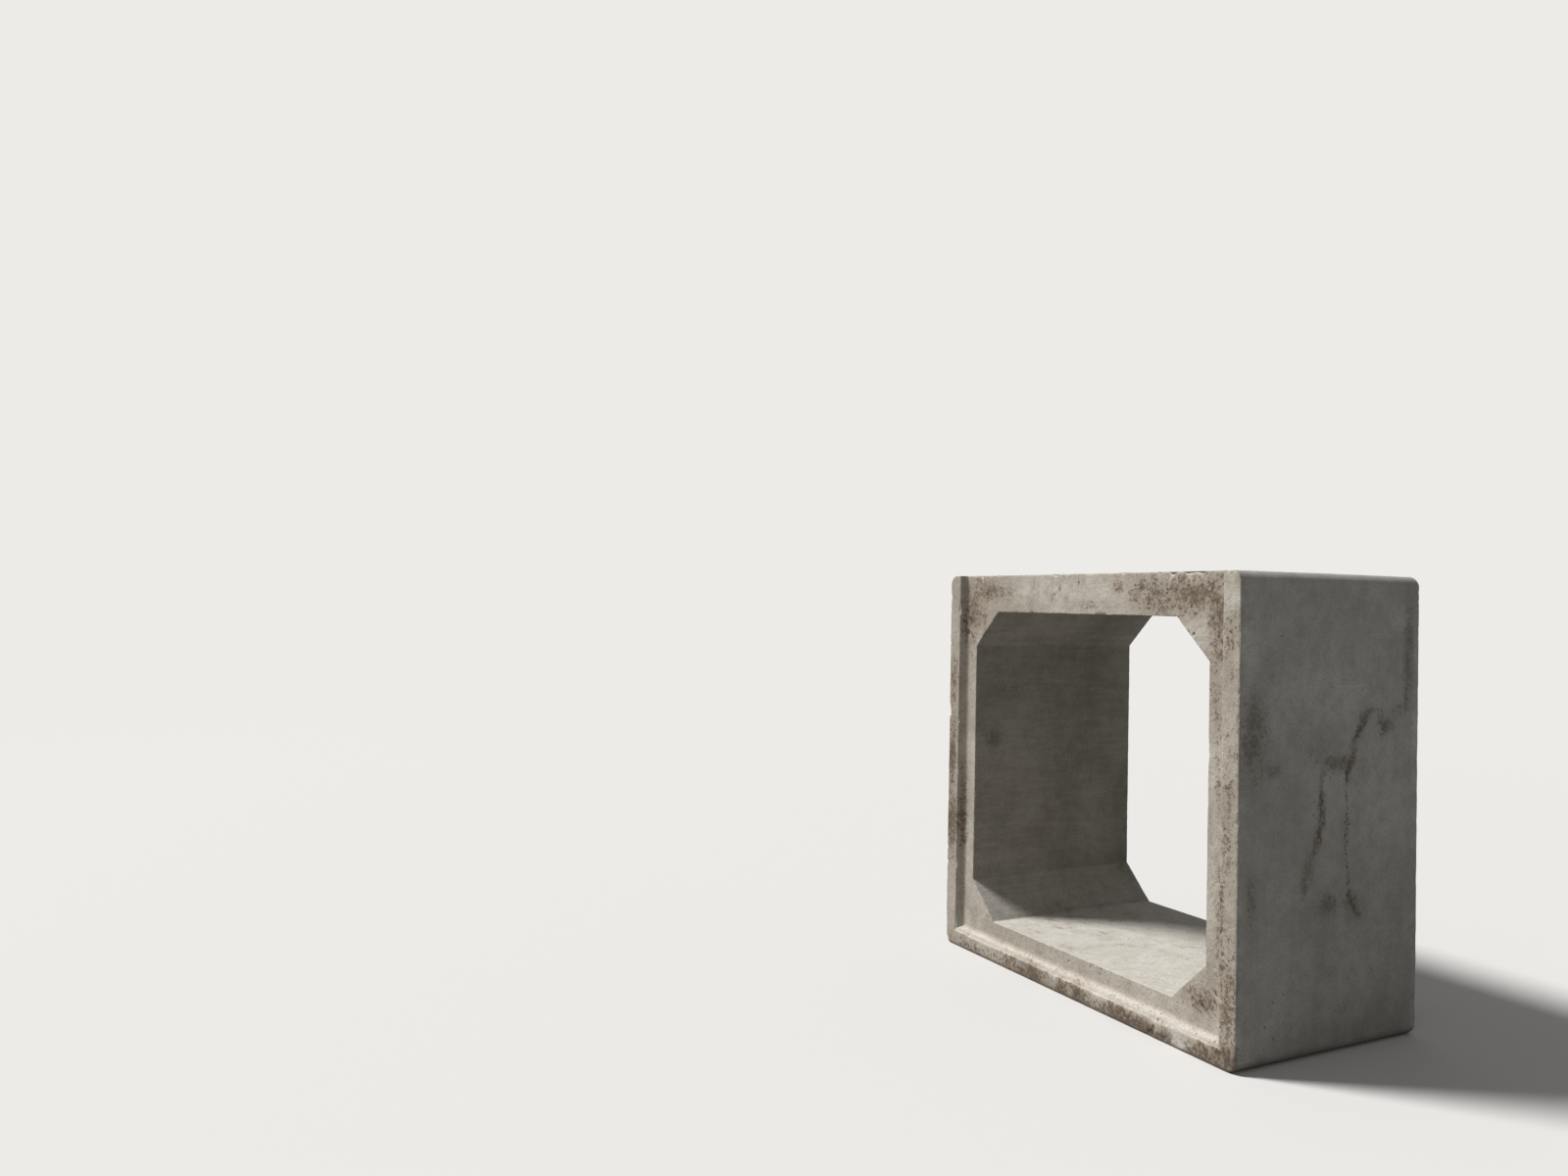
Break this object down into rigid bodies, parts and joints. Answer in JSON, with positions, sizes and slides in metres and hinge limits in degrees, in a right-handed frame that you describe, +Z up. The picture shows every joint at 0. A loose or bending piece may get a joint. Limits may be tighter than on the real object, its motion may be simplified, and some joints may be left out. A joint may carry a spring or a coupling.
{
  "type": "precast concrete box culvert unit",
  "caption": "Square precast concrete box culvert unit: haunched barrel, drafted socket rim on three sides of one end, matching tongue on the other, lifting holes in the top slab.",
  "frame": {"origin": "centre of the bounding box at its lowest level, on the ground under the middle of the barrel", "axes": "+Z up, +Y along the barrel from the socket end to the tongue end, +X across the barrel"},
  "size_m": [1.86, 1.04, 1.86],
  "materials": {
    "concrete": "weathered form-cast concrete"
  },
  "bodies": {
    "root": {"culvert_unit": "concrete"}
  },
  "joints": []
}
